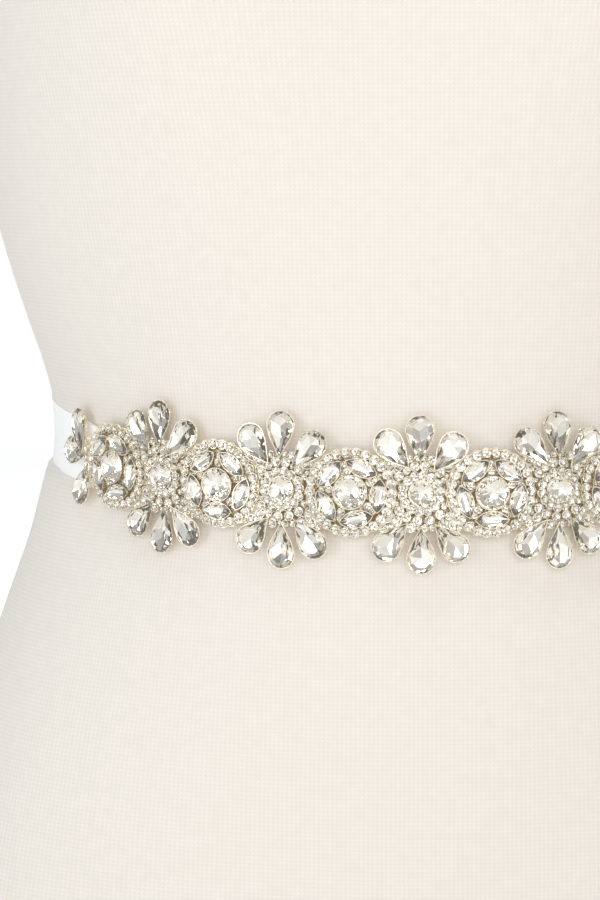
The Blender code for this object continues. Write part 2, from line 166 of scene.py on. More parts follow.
# Small stones laid in what is left free: how far out, on what grid, and their sizes in turn
PAVE_REACH = 11.0
PAVE_STEP = 0.25
FLOWER_PAVE = (1.0, 0.8, 0.62, 0.46)
MEDALLION_PAVE = (0.85, 0.65, 0.5, 0.38)

# The net under a motif: its radius, the height of its underside and its thickness
FLOWER_NET = (10.7, 1.8, 0.12)
MEDALLION_NET = (12.2, 1.95, 0.3)
NET_SIDES = 48
NET_RINGS = 3

# Cut stones and their cups, before they are set, and the block that they are ground from
PEAR_HEAD = 4.2
PEAR_TIP = 9.2
ROUND_RADIUS = 4.9
NAVETTE_HALF = (4.9, 2.55)
CHATON_RADIUS = 1.32
BLOCK = 40.0
BLOCK_HEIGHT_SHARE = 0.4
STONE_WELD = 0.002
MIRROR_BELOW = 0.1
CUP_WALL = 0.19
CHATON_WALL = 0.13
CUP_LIP = 0.1
CUP_LIP_SHARE = 0.9
CUP_FLOOR = 0.2
CUP_FLOOR_SHARE = 0.5

# A claw's measures, as shares of its width, and how far into the cup's wall it stands
CLAW_HEIGHT = 1.4
CLAW_DEPTH = 0.8
CLAW_OVER = 0.4
CLAW_BEVEL = 0.3
CLAW_IN = 0.6

# The finishes: their darker and lighter colours, and how fine their patterns are
IVORY = ((0.826, 0.767, 0.697), (0.945, 0.884, 0.819))
IVORY_CLOUD = (0.97, 0.95, 0.93)
WALES_ROUND = 512.0
COURSE = 1.22
WHITE = ((0.955, 0.955, 0.955), (0.99, 0.99, 0.99))
RIBS_ALONG = 900.0
SELVEDGE_FROM = 0.462
CRYSTAL_TINTS = ((0.93, 0.95, 1.0), (1.0, 0.97, 0.92))
BRIGHT_FOIL = ((0.96, 0.92, 0.83), (0.99, 0.965, 0.91))
SMOKY_FOIL = ((0.86, 0.82, 0.74), (0.94, 0.91, 0.84))
PALE_SILVER = ((0.88, 0.77, 0.58), (0.97, 0.915, 0.79))
# the dark end is painted shade for the gaps between the stones, the light end is champagne metal
GAP_SHADE_AND_CHAMPAGNE = ((0.30, 0.205, 0.10), (0.98, 0.91, 0.76))
NET_THREADS = 1600.0
PALE_FLOOR = ((0.83, 0.83, 0.82), (0.88, 0.88, 0.87))

# Light that a finish gives off by itself: a painted white glow that brightens the satin, and a
# glow that stands for light bounced in a setting more often than is traced
SATIN_PAINTED_GLOW = 0.12
SETTING_GLOW = 0.05

# The camera
CAMERA_PLACE = (-34.0, -1000.0, 352.0)
CAMERA_DOWN = math.radians(5.1)
SENSOR = 36.0
LENS = 128.6

# The studio's floor, which glows a little near the part and fully from there on, in metres
FLOOR_RADIUS = 3.0
FLOOR_GLOW = 0.6
FLOOR_GLOW_FROM = (0.45, 1.4)
FLOOR_NEAR = (0.12, 0.12, 0.12)

# The studio's surroundings, and patches of them: a direction, the radius of the full middle,
# the radius where the patch ends, then its colour or its depth
ROOM_STRENGTH = 0.41
ROOM_LIGHT = (1.0, 0.995, 0.985)
ROOM_COOL = ((-1.0, -0.2, 0.3), math.radians(10.0), math.radians(100.0), (0.93, 0.985, 1.02))
ROOM_DARK = (0.03, 0.03, 0.03)
ROOM_GLOW = ((0.0, -1.0, 0.1), math.radians(20.0), math.radians(55.0), 0.85)
ROOM_SHADES = (
    ((-0.45, -0.9, 0.35), math.radians(6.0), math.radians(9.0), 0.85),
    ((0.5, -0.9, -0.25), math.radians(6.0), math.radians(9.0), 0.85),
    ((0.1, -0.85, -0.6), math.radians(4.0), math.radians(7.0), 0.8),
    ((0.3, -0.9, 0.6), math.radians(5.0), math.radians(8.0), 0.85),
    ((-0.85, -0.8, -0.35), math.radians(6.0), math.radians(10.0), 0.85),
    ((-0.75, -0.9, 0.7), math.radians(8.0), math.radians(12.0), 0.85),
)

# Softboxes, in metres and watts
Softbox = namedtuple("Softbox", "name place size power colour")
SOFTBOX_TARGET = (0.0, 0.0, 0.28)
SOFTBOXES = (
    Softbox("key_softbox", (0.75, -1.35, 1.05), (0.8, 0.8), 1.8, (1.0, 0.985, 0.95)),
    Softbox("fill_softbox", (-1.15, -0.95, 0.55), (0.5, 0.9), 3.5, (0.93, 0.965, 1.0)),
    Softbox("top_softbox", (0.0, -0.25, 1.7), (1.0, 0.6), 8.0, (1.0, 1.0, 1.0)),
    Softbox("front_softbox", (0.1, -2.2, 1.0), (1.6, 1.0), 8.5, (1.0, 0.99, 0.97)),
    Softbox("back_softbox", (0.5, 1.7, 0.9), (1.2, 1.2), 8.0, (1.0, 1.0, 1.0)),
)


def smooth_between(low, high, value):
    share = min(1.0, max(0.0, (value - low) / (high - low)))
    return share * share * (3.0 - 2.0 * share)


def turned(x, y, heading):
    """A place as seen from something that points along a heading."""
    return (
        x * math.cos(heading) + y * math.sin(heading),
        y * math.cos(heading) - x * math.sin(heading),
    )


def degrees(*headings):
    return [math.radians(heading) for heading in headings]


# Working in edit mode

def begin(operator, **settings):
    """Adds a primitive with nothing else selected and opens it for editing."""
    bpy.ops.object.select_all(action="DESELECT")
    operator(**settings)
    bpy.ops.object.mode_set(mode="EDIT")
    bpy.ops.mesh.select_mode(type="FACE")
    return bpy.context.active_object


def end(name):
    """Closes the piece that is being edited."""
    bpy.ops.object.mode_set(mode="OBJECT")
    made = bpy.context.active_object
    made.name = name
    made.data.name = name
    return made


def pick_faces(test):
    """Selects the faces of the edited piece that pass a test."""
    mesh = bpy.context.active_object.data
    shape = bmesh.from_edit_mesh(mesh)
    for face in shape.faces:
        face.select_set(bool(test(face)))
    shape.select_flush_mode()
    bmesh.update_edit_mesh(mesh)


def only(*objects):
    """Selects these objects alone, the first of them active."""
    bpy.ops.object.select_all(action="DESELECT")
    for one in objects:
        one.select_set(True)
    bpy.context.view_layer.objects.active = objects[0]


def apply_modifier(piece, kind, **settings):
    only(piece)
    modifier = piece.modifiers.new(kind.title(), kind)
    for key, value in settings.items():
        setattr(modifier, key, value)
    bpy.ops.object.modifier_apply(modifier=modifier.name)


def joined(name, pieces):
    only(*pieces)
    if len(pieces) > 1:
        bpy.ops.object.join()
    whole = bpy.context.active_object
    bpy.ops.object.transform_apply(location=True, rotation=True, scale=True)
    whole.name = name
    whole.data.name = name
    return whole


# Shader graphs

class Value:
    """A socket's value, which takes part in ordinary arithmetic."""

    def __init__(self, graph, socket):
        self.graph = graph
        self.socket = socket

    def maths(self, operation, *terms):
        return self.graph.node("ShaderNodeMath", {"operation": operation}, dict(enumerate(terms)))

    def __add__(self, other):
        return self.maths("ADD", self, other)

    def __sub__(self, other):
        return self.maths("SUBTRACT", self, other)

    def __rsub__(self, other):
        return self.maths("SUBTRACT", other, self)

    def __mul__(self, other):
        return self.maths("MULTIPLY", self, other)

    __radd__ = __add__

    def fraction(self):
        return self.maths("FRACT", self)

    def size(self):
        return self.maths("ABSOLUTE", self)

    def above(self, level):
        """1 above a level and 0 below it."""
        return self.maths("GREATER_THAN", self, level)

    def wave(self):
        """A sine between 0 and 1, once round for each whole number."""
        return self.maths("SINE", self * (2.0 * math.pi)) * 0.5 + 0.5

    def step(self, low, high):
        """Rises smoothly from 0 to 1 between two values."""
        return self.graph.node(
            "ShaderNodeMapRange",
            {"interpolation_type": "SMOOTHSTEP"},
            {"Value": self, "From Min": low, "From Max": high},
        )


class Graph:
    """The nodes of a material or of the studio's surroundings."""

    def __init__(self, tree):
        self.tree = tree

    def node(self, kind, settings, values, output=0):
        """Adds a node: its settings first, then the values or links of its sockets."""
        made = self.tree.nodes.new(kind)
        for key, value in settings.items():
            setattr(made, key, value)
        for key, value in values.items():
            if isinstance(value, Value):
                self.tree.links.new(value.socket, made.inputs[key])
            else:
                made.inputs[key].default_value = value
        return Value(self, made.outputs[output])

    def coordinates(self, output):
        """A Texture Coordinate output, and its three coordinates."""
        place = self.node("ShaderNodeTexCoord", {}, {}, output)
        split = self.node("ShaderNodeSeparateXYZ", {}, {0: place})
        sockets = split.socket.node.outputs
        return place, [Value(self, sockets[k]) for k in range(3)]

    def noise(self, place, scale, detail=2.0):
        values = {"Vector": place, "Scale": scale, "Detail": detail}
        return self.node("ShaderNodeTexNoise", {}, values)

    def mix(self, share, low, high, blend="MIX"):
        """A colour between two, each of them a value or a plain colour."""
        low, high = [tone if isinstance(tone, Value) else (*tone, 1.0) for tone in (low, high)]
        settings = {"data_type": "RGBA", "blend_type": blend}
        return self.node("ShaderNodeMix", settings, {0: share, 6: low, 7: high}, 2)

    def bump(self, height, strength, distance):
        return self.node(
            "ShaderNodeBump", {}, {"Height": height, "Strength": strength, "Distance": distance}
        )


class Finish(Graph):
    """One material: the shader's constants, and what changes over the surface."""

    def __init__(self, name, **constants):
        self.material = bpy.data.materials.new(name)
        self.material.use_nodes = True
        super().__init__(self.material.node_tree)
        for key, value in constants.items():
            self.socket(key).default_value = value

    def socket(self, key):
        """The shader's socket for a key such as base_color."""
        label = key.replace("_", " ").title().replace("Ior", "IOR")
        return self.tree.nodes["Principled BSDF"].inputs[label]

    def feed(self, **links):
        for key, value in links.items():
            self.tree.links.new(value.socket, self.socket(key))


def jersey():
    """Ivory knit: upright wales of small V stitches, with a faint unevenness of the yarn."""
    finish = Finish("ivory_jersey", roughness=0.88, sheen_weight=0.25, sheen_roughness=0.5)
    place, (x, y, z) = finish.coordinates("Object")
    wander = finish.noise(place, scale=30.0, detail=1.0) * 0.5
    wale = x.maths("ARCTAN2", x, 0.0 - y) * (WALES_ROUND / (2.0 * math.pi)) + wander
    course = z * (1.0 / (COURSE * MM)) + wander
    leg = (wale.fraction() - 0.5).size()
    stitch = (course + leg).wave() * 0.3 + wale.wave() * 0.4 + course.wave() * 0.3
    uneven = finish.noise(place, scale=160.0, detail=3.0)
    cloud = finish.noise(place, scale=9.0)
    strength = finish.noise(place, scale=300.0) * 0.9 + 0.25
    colour = finish.mix(stitch * strength * 1.15 + uneven * 0.1, *IVORY)
    height = stitch + uneven * 0.4
    finish.feed(
        base_color=finish.mix(cloud * 0.12, colour, IVORY_CLOUD, "MULTIPLY"),
        normal=finish.bump(height, strength=0.15, distance=0.00022),
    )
    return finish.material


def satin():
    """White satin: a smooth face with a hair-fine rib across and a soft sheen, brightened by a
    faint painted white glow.
    """
    finish = Finish(
        "white_satin",
        sheen_weight=0.3,
        sheen_roughness=0.4,
        # painted light: a faint white glow that makes the satin brighter than its lamps alone
        # would
        emission_color=(1.0, 1.0, 1.0, 1.0),
        emission_strength=SATIN_PAINTED_GLOW,
    )
    place, (across, along, _) = finish.coordinates("UV")
    rib = (along * RIBS_ALONG).wave()
    selvedge = (across - 0.5).size().above(SELVEDGE_FROM)
    slub = finish.noise(place, scale=60.0)
    height = rib * 0.5 + selvedge * 1.5 + slub * 0.3
    finish.feed(
        base_color=finish.mix(rib * 0.4 + slub * 0.6, *WHITE),
        roughness=slub * 0.16 + 0.36,
        normal=finish.bump(height, strength=0.25, distance=0.00008),
    )
    return finish.material


def inner_glow():
    """Stands for the light that goes back and forth in a setting more often than is traced."""
    return {"emission_color": (1.0, 0.9, 0.74, 1.0), "emission_strength": SETTING_GLOW}


def crystal():
    """Clear cut glass, with the faintest warm and cool tints from stone to stone."""
    finish = Finish("clear_crystal", roughness=0.0, transmission_weight=1.0, ior=1.54)
    place, _ = finish.coordinates("Object")
    tint = finish.noise(place, scale=420.0, detail=1.0)
    finish.feed(base_color=finish.mix(tint, *CRYSTAL_TINTS))
    return finish.material


def foil(name, colours):
    """The mirror behind a stone, a little cloudy in places."""
    finish = Finish(name, metallic=1.0, **inner_glow())
    place, _ = finish.coordinates("Object")
    cloud = finish.noise(place, scale=300.0)
    finish.feed(base_color=finish.mix(cloud, *colours), roughness=cloud * 0.06 + 0.01)
    return finish.material


def silver():
    """Pale, slightly warm plated metal of the cups, prongs and wire, rubbed in random patches."""
    finish = Finish("pale_silver", metallic=1.0, **inner_glow())
    place, _ = finish.coordinates("Object")
    wear = finish.noise(place, scale=900.0, detail=3.0)
    finish.feed(
        base_color=finish.mix(wear, *PALE_SILVER),
        roughness=wear * 0.25 + 0.15,
        normal=finish.bump(wear, strength=0.15, distance=0.00005),
    )
    return finish.material


def backing():
    """The net that the stones are sewn to, seen in the gaps between them: its dark brown ground
    is painted shade for those gaps, with flecks of champagne metal.
    """
    finish = Finish("champagne_net_painted_shade", roughness=0.6, sheen_weight=0.2)
    place, (x, _, z) = finish.coordinates("Object")
    net = (x * NET_THREADS).wave() * (z * NET_THREADS).wave()
    glint = finish.noise(place, scale=1300.0, detail=3.0).step(0.42, 0.7)
    finish.feed(
        # painted shade: dark brown wherever there are no metal flecks, standing for the shadow in
        # the gaps
        base_color=finish.mix(glint, *GAP_SHADE_AND_CHAMPAGNE),
        metallic=glint * 0.7,
        roughness=glint * -0.25 + 0.55,
        normal=finish.bump(net + glint, strength=0.6, distance=0.00015),
    )
    return finish.material


# The form's skin

def form_skin():
    """A finer copy of the dress form: its facets are made quads again and rounded off."""
    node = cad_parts["dress_form"]
    skin = bpy.data.objects.new("dress_form_skin", node.data.copy())
    bpy.context.scene.collection.objects.link(skin)
    only(skin)
    bpy.ops.object.mode_set(mode="EDIT")
    bpy.ops.mesh.select_all(action="SELECT")
    bpy.ops.mesh.remove_doubles(threshold=SKIN_WELD * MM)
    bpy.ops.mesh.tris_convert_to_quads(face_threshold=0.9, shape_threshold=3.0)
    bpy.ops.mesh.select_mode(type="FACE")
    pick_faces(lambda face: face.normal.z < -0.98)
    bpy.ops.mesh.region_to_loop()
    bpy.ops.transform.edge_crease(value=1.0)
    bpy.ops.object.mode_set(mode="OBJECT")
    apply_modifier(skin, "SUBSURF", levels=2, render_levels=2)
    for vertex in skin.data.vertices:
        x, y, z = vertex.co / MM
        turn = math.atan2(x, -y)
        below = belt_level(turn, y) - z
        full = smooth_between(*SWELL_RISE, below) * (1.0 - smooth_between(*SWELL_FALL, below))
        aside = smooth_between(*SWELL_FROM, abs(turn))
        vertex.co += Vector((x, y, 0.0)).normalized() * (SWELL * full * aside * MM)
    bpy.ops.object.shade_smooth()
    return skin


def belt_level(turn, y):
    """The height of the belt's middle line where it passes a place on the form."""
    rise = smooth_between(SIDE_RISE_FROM, SIDE_RISE_TO, abs(turn))
    return WAIST_HEIGHT + SIDE_RISE * rise + math.tan(BELT_TILT) * y


class Belt:
    """Turns places on the belt into points outside the form's skin."""

    def __init__(self, skin):
        self.tree = BVHTree.FromObject(skin, bpy.context.evaluated_depsgraph_get())
        rows = []
        for k in range(-BELT_SAMPLES // 2, BELT_SAMPLES // 2 + 1):
            turn = 2.0 * math.pi * k / BELT_SAMPLES
            height = self.middle(turn)
            rows.append((turn, height, self.skin(turn, height)))
        lengths = [0.0]
        for before, after in zip(rows, rows[1:]):
            lengths.append(lengths[-1] + (after[2] - before[2]).length)
        zero = lengths[BELT_SAMPLES // 2]
        self.lengths = [length - zero for length in lengths]
        self.rows = rows
        self.half_round = self.lengths[-1]

    def cast(self, origin, direction):
        hit = self.tree.ray_cast(origin * MM, direction)[0]
        return hit / MM

    def skin(self, turn, height):
        """The skin's point in a direction from the upright axis, at a height over the floor."""
        direction = Vector((math.sin(turn), -math.cos(turn), 0.0))
        return self.cast(Vector((0.0, 0.0, height)), direction)

    def middle(self, turn):
        """The height of the belt's middle line, low in front and high at the back."""
        height = WAIST_HEIGHT
        for _ in range(3):
            height = belt_level(turn, self.skin(turn, height).y)
        return height

    def outwards(self, turn, height):
        width = SLOPE_STEP / 100.0
        along = self.skin(turn + width, height) - self.skin(turn - width, height)
        up = self.skin(turn, height + SLOPE_STEP) - self.skin(turn, height - SLOPE_STEP)
        return along.cross(up).normalized()

    def point(self, around, up, out):
        around = max(self.lengths[0], min(self.lengths[-1], around))
        index = min(max(bisect_right(self.lengths, around) - 1, 0), len(self.rows) - 2)
        near, far = self.lengths[index], self.lengths[index + 1]
        share = (around - near) / (far - near)
        low, high = self.rows[index], self.rows[index + 1]
        turn = low[0] + (high[0] - low[0]) * share
        height = low[1] + (high[1] - low[1]) * share + up
        return self.skin(turn, height) + self.outwards(turn, height) * out

    def seat(self, around, up):
        """The place of a stone: x along the belt, y up it and z out of the cloth."""
        def at(a, b):
            lean = PEAR_LEAN * smooth_between(RIBBON_WIDTH / 2.0, PEAR_TIP_HEIGHT, abs(b))
            return self.point(a, b, MOTIF_OUT - lean)

        along = at(around + SLOPE_STEP, up) - at(around - SLOPE_STEP, up)
        rising = at(around, up + SLOPE_STEP) - at(around, up - SLOPE_STEP)
        out = along.cross(rising).normalized()
        along.normalize()
        turn = Matrix((along, out.cross(along), out)).transposed().to_4x4()
        return Matrix.Translation(at(around, up) * MM) @ turn


# The ribbon, its knot and its tails

def strip(name, node, cells, place, finish):
    """A strip of satin, laid cell by cell by place(share along, row across), then thickened."""
    bpy.ops.object.select_all(action="DESELECT")
    bpy.ops.mesh.primitive_grid_add(x_subdivisions=cells[1], y_subdivisions=cells[0], size=1.0)
    piece = bpy.context.active_object
    piece.name = name
    piece.data.name = name
    for vertex in piece.data.vertices:
        vertex.co = place(vertex.co.y + 0.5, vertex.co.x * 2.0) * MM
    apply_modifier(piece, "SOLIDIFY", thickness=SATIN_THICK * MM, offset=1.0)
    bpy.ops.object.shade_smooth_by_angle(angle=math.radians(50.0))
    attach(piece, "root")
    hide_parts(node)
    piece.data.materials.append(finish)
    return piece


def make_ribbon(belt, finish):
    end_at = belt.half_round - KNOT_HALF[0] + RIBBON_TUCK

    def place(share, row):
        around = end_at * (2.0 * share - 1.0)
        gather = 1.0 - smooth_between(0.0, GATHER_LENGTH, end_at - abs(around))
        half = RIBBON_WIDTH / 2.0 * (1.0 - gather) + GATHER_HALF_WIDTH * gather
        pleat = GATHER_PLEAT * gather * (1.0 - math.cos(math.pi * GATHER_PLEATS * row)) / 2.0
        eased = smooth_between(*RIBBON_EASE, abs(around))
        curl = EDGE_CURL * eased * smooth_between(EDGE_CURL_FROM, 1.0, abs(row))
        flat = RIBBON_OUT + (RIBBON_EASED_OUT - RIBBON_OUT) * eased - curl
        out = flat + GATHER_RISE * gather * (1.0 - row * row) + pleat
        return belt.point(around, half * row, out)

    return strip("satin_band", "ribbon_band", RIBBON_CELLS, place, finish), 2.0 * end_at


def make_tail(tail, belt, finish):
    foot = belt.middle(math.pi) - KNOT_HALF[2] - TAIL_BELOW_KNOT
    lean = math.atan2(tail.drift, tail.length)

    def place(share, row):
        along = tail.length * share + TAIL_SLANT * row * tail.side * share ** TAIL_SLANT_POWER
        opening = smooth_between(0.0, TAIL_OPEN_LENGTH, along)
        half = TAIL_ROOT_HALF_WIDTH + (RIBBON_WIDTH / 2.0 - TAIL_ROOT_HALF_WIDTH) * opening
        x = tail.side * (TAIL_ROOT_APART + tail.drift * share) + half * row * math.cos(lean)
        height = foot - along * math.cos(lean) + half * row * tail.side * math.sin(lean)
        skin = belt.cast(Vector((x, 0.0, height)), Vector((0.0, 1.0, 0.0)))
        turn = math.atan2(skin.x, -skin.y)
        fold = TAIL_FOLD * (1.0 - opening * TAIL_FOLD_LOST) * (1.0 - abs(row))
        swing = 2.0 * math.pi * TAIL_WAVES * share + tail.phase + TAIL_TWIST * row
        wave = tail.ripple * opening * (1.0 + math.sin(swing))
        out = TAIL_OUT + TAIL_ROOT_LIFT * (1.0 - opening) + fold + wave
        return skin + belt.outwards(turn, height) * out

    return strip(f"satin_{tail.name}", f"ribbon_{tail.name}", TAIL_CELLS, place, finish)


def creases(folds, across, along):
    """How deep the creases are at a place, from 0 to 1."""
    return abs(math.sin(folds[0] * across + folds[1] * along))


def make_knot(belt, finish):
    """A bundle with one turn of the ribbon wrapped slantwise over it."""
    middle = belt.point(belt.half_round, 0.0, KNOT_HALF[1] + KNOT_OFF_SKIN)
    half_width, half_depth, half_height = (
        half - inside for half, inside in zip(KNOT_HALF, KNOT_INSIDE)
    )
    bpy.ops.object.select_all(action="DESELECT")
    bpy.ops.mesh.primitive_uv_sphere_add(
        segments=KNOT_CELLS[0], ring_count=KNOT_CELLS[1], radius=1.0
    )
    knot = bpy.context.active_object
    for vertex in knot.data.vertices:
        x, y, z = vertex.co
        ring = math.hypot(x, y)
        swell = ring ** KNOT_FULLNESS if ring > KNOT_POLE else 1.0
        across, along = turned(x, z, KNOT_SLANT)
        wrap = 1.0 - smooth_between(*KNOT_WRAP_EDGE, abs(across))
        crease = creases(KNOT_WRAP_FOLDS, across, along) * wrap
        crease += creases(KNOT_BUNDLE_FOLDS, across, along) * (1.0 - wrap)
        grow = (KNOT_WRAP_RISE * wrap - KNOT_CREASE * crease) * ring
        shape = Vector((
            x * swell * (half_width + grow),
            y * (half_depth + grow),
            math.copysign(abs(z) ** KNOT_FLATNESS, z) * half_height,
        ))
        vertex.co = (middle + shape) * MM
    knot.name = "satin_knot"
    knot.data.name = "satin_knot"
    bpy.ops.object.shade_smooth()
    knot.data.materials.append(finish)
    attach(knot, "root")
    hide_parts("ribbon_knot")
    return knot


# Cutting stones: each facet is ground on with one plane

def pear_reach(heading):
    """How far a teardrop's outline reaches in a direction from the middle of its head."""
    return max(PEAR_HEAD, -PEAR_TIP * math.cos(heading))


def round_reach(_):
    return ROUND_RADIUS


def chaton_reach(_):
    return CHATON_RADIUS


def navette_reach(heading):
    half_length, half_width = NAVETTE_HALF
    curve = (half_length ** 2 + half_width ** 2) / (2.0 * half_width)
    if abs(math.cos(heading)) * curve > half_length:
        return half_length * abs(math.cos(heading))
    return curve - (curve - half_width) * abs(math.sin(heading))


def grind(heading, slope, distance):
    """Grinds one facet: slope 0 faces up, 90 outwards and 180 down."""
    normal = Vector((
        math.sin(slope) * math.cos(heading),
        math.sin(slope) * math.sin(heading),
        math.cos(slope),
    ))
    bpy.ops.mesh.select_all(action="SELECT")
    bpy.ops.mesh.bisect(
        plane_co=normal * distance * MM, plane_no=normal, use_fill=True, clear_outer=True
    )


# A row of facets: its slope in degrees, how many there are, how many steps the first is turned
# and how far in from the edge they start
Facets = namedtuple("Facets", "slope count offset inset")

# A cut: its outline, the cup's wall, the heights of girdle, table and underside, its rows, the
# directions and the width of its claws, and the share to which its cup narrows at the foot
Cut = namedtuple("Cut", "reach sides wall girdle table bottom rows claws claw_size foot")


def outline(cut, inset):
    """Grinds the block to a stone's outline, less an inset all round."""
    for k in range(cut.sides):
        heading = 2.0 * math.pi * k / cut.sides
        grind(heading, math.pi / 2.0, cut.reach(heading) - inset)


def block():
    width = BLOCK * MM
    scale = (width, width, width * BLOCK_HEIGHT_SHARE)
    begin(bpy.ops.mesh.primitive_cube_add, size=1.0, scale=scale)


def cut_stone(cut, glass, mirror):
    """A faceted stone: clear above its girdle, and mirrored below it."""
    block()
    outline(cut, cut.wall)
    for facets in cut.rows:
        slope = math.radians(facets.slope)
        for k in range(facets.count):
            heading = 2.0 * math.pi * (k + facets.offset) / facets.count
            edge = cut.reach(heading) - cut.wall - facets.inset
            grind(heading, slope, edge * math.sin(slope) + cut.girdle * math.cos(slope))
    grind(0.0, 0.0, cut.table)
    grind(0.0, math.pi, -cut.bottom)
    bpy.ops.mesh.select_all(action="SELECT")
    bpy.ops.mesh.remove_doubles(threshold=STONE_WELD * MM)
    stone = bpy.context.active_object
    stone.data.materials.append(glass)
    stone.data.materials.append(mirror)
    pick_faces(lambda face: face.normal.z < MIRROR_BELOW)
    stone.active_material_index = 1
    bpy.ops.object.material_slot_assign()
    return end("stone")


def make_cup(cut, metal):
    """The metal cup round a stone, hollowed so that the stone's mirror stays clear of it."""
    block()
    outline(cut, 0.0)
    lip = cut.girdle + CUP_LIP
    grind(0.0, math.pi, 0.0)
    grind(0.0, 0.0, lip)
    pick_faces(lambda face: face.normal.z < -0.9)
    bpy.ops.transform.resize(value=(cut.foot, cut.foot, 1.0), center_override=(0.0, 0.0, 0.0))
    pick_faces(lambda face: face.normal.z > 0.9)
    bpy.ops.mesh.inset(thickness=cut.wall * CUP_LIP_SHARE * MM, depth=0.0)
    down = {"value": (0.0, 0.0, (CUP_FLOOR - lip) * MM)}
    bpy.ops.mesh.extrude_region_move(TRANSFORM_OT_translate=down)
    bpy.ops.transform.resize(
        value=(CUP_FLOOR_SHARE, CUP_FLOOR_SHARE, 1.0), center_override=(0.0, 0.0, CUP_FLOOR * MM)
    )
    cup = end("cup")
    cup.data.materials.append(metal)
    return cup


def make_claw(cut, heading, metal):
    """A small claw bent over a stone's edge."""
    size = cut.claw_size
    edge = cut.reach(heading) - cut.wall * CLAW_IN
    top = cut.girdle + CUP_LIP + size * CLAW_OVER
    height = size * CLAW_HEIGHT
    begin(
        bpy.ops.mesh.primitive_cube_add,
        size=1.0,
        location=(
            edge * math.cos(heading) * MM,
            edge * math.sin(heading) * MM,
            (top - height / 2.0) * MM,
        ),
        rotation=(0.0, 0.0, heading),
        scale=(size * CLAW_DEPTH * MM, size * MM, height * MM),
    )
    pick_faces(lambda face: face.normal.z > 0.9)
    bpy.ops.mesh.bevel(offset=size * CLAW_BEVEL * MM, segments=1)
    claw = end("claw")
    claw.data.materials.append(metal)
    return claw


# Rows nearer the middle start past the edge, so that the stone keeps its full outline
CUTS = {
    "pear": Cut(
        pear_reach, 30, CUP_WALL, 1.7, 3.2, 0.75,
        (
            Facets(50.0, 11, 0.5, 0.0),
            Facets(37.0, 8, 0.0, -0.25),
            Facets(160.0, 9, 0.0, 0.0),
            Facets(168.0, 6, 0.5, -0.5),
        ),
        degrees(180.0, 75.0, 285.0, 22.0, 338.0), 0.5, 0.62,
    ),
    "round": Cut(
        round_reach, 24, CUP_WALL, 2.4, 4.3, 1.2,
        (
            Facets(39.0, 16, 0.5, 0.0),
            Facets(30.0, 16, 0.0, -0.3),
            Facets(21.0, 8, 0.5, -1.1),
            Facets(163.0, 16, 0.0, 0.0),
            Facets(170.0, 8, 0.5, -0.5),
        ),
        degrees(45.0, 135.0, 225.0, 315.0), 0.6, 0.75,
    ),
    "navette": Cut(
        navette_reach, 20, 0.2, 2.1, 3.2, 1.4,
        (
            Facets(34.0, 10, 0.5, 0.0),
            Facets(25.0, 6, 0.5, -0.25),
            Facets(166.0, 8, 0.5, 0.0),
            Facets(173.0, 6, 0.5, -0.3),
        ),
        degrees(0.0, 180.0), 0.42, 0.75,
    ),
    "chaton": Cut(
        chaton_reach, 8, CHATON_WALL, 1.5, 2.0, 1.15,
        (Facets(38.0, 8, 0.5, 0.0), Facets(163.0, 6, 0.5, 0.0)),
        degrees(45.0, 135.0, 225.0, 315.0), 0.34, 0.8,
    ),
}


def make_library(metal):
    """One of each stone in its cup with its claws, to copy."""
    glass = crystal()
    bright = foil("bright_foil", BRIGHT_FOIL)
    smoky = foil("smoky_foil", SMOKY_FOIL)
    library = {}
    for name, cut in CUTS.items():
        mirror = smoky if name == "pear" else bright
        parts = [cut_stone(cut, glass, mirror), make_cup(cut, metal)]
        parts += [make_claw(cut, heading, metal) for heading in cut.claws]
        library[name] = joined(name, parts)
    return library


# Setting the stones

Tools = namedtuple("Tools", "library belt silver net")


class Motif:
    """A motif that is being set: its stones are copied onto the belt and joined at the end."""

    def __init__(self, name, library, belt):
        self.name = name
        self.library = library
        self.belt = belt
        self.parts = []

    def put(self, kind, around, up, heading=0.0, share=1.0):
        source = self.library[kind]
        stone = bpy.data.objects.new(kind, source.data.copy())
        bpy.context.scene.collection.objects.link(stone)
        sway = 37.0 * around + 11.0 * up
        lean = Matrix.Rotation(STONE_LEAN, 4, Vector((math.sin(sway), math.cos(sway), 0.0)))
        pose = lean @ Matrix.Rotation(heading, 4, "Z") @ Matrix.Scale(share, 4)
        stone.matrix_world = self.belt.seat(around, up) @ pose
        self.parts.append(stone)

    def pave(self, middle, room_at, sizes):
        """Fills what is free round a middle with small stones, the largest first."""
        count = int(PAVE_REACH / PAVE_STEP)
        grid = [
            (PAVE_STEP * i, PAVE_STEP * j)
            for i in range(-count, count + 1)
            for j in range(-count, count + 1)
        ]
        grid.sort(key=lambda spot: (round(math.hypot(*spot), 3), spot))
        laid = []
        for share in sizes:
            radius = CHATON_RADIUS * share
            for x, y in grid:
                if room_at(x, y) < radius:
                    continue
                if all(math.hypot(x - a, y - b) > radius + r for a, b, r in laid):
                    laid.append((x, y, radius))
                    self.put("chaton", middle + x, y, 1.7 * x + 2.3 * y, share)

    def lay(self, piece):
        """Bends a flat piece, drawn round the origin in metres, onto the belt."""
        for vertex in piece.data.vertices:
            around, up, out = vertex.co / MM
            vertex.co = self.belt.point(around, up, out) * MM
        self.parts.append(piece)

    def finish(self):
        whole = joined(self.name + "_stones", self.parts)
        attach(whole, "root")
        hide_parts(self.name)
        return whole


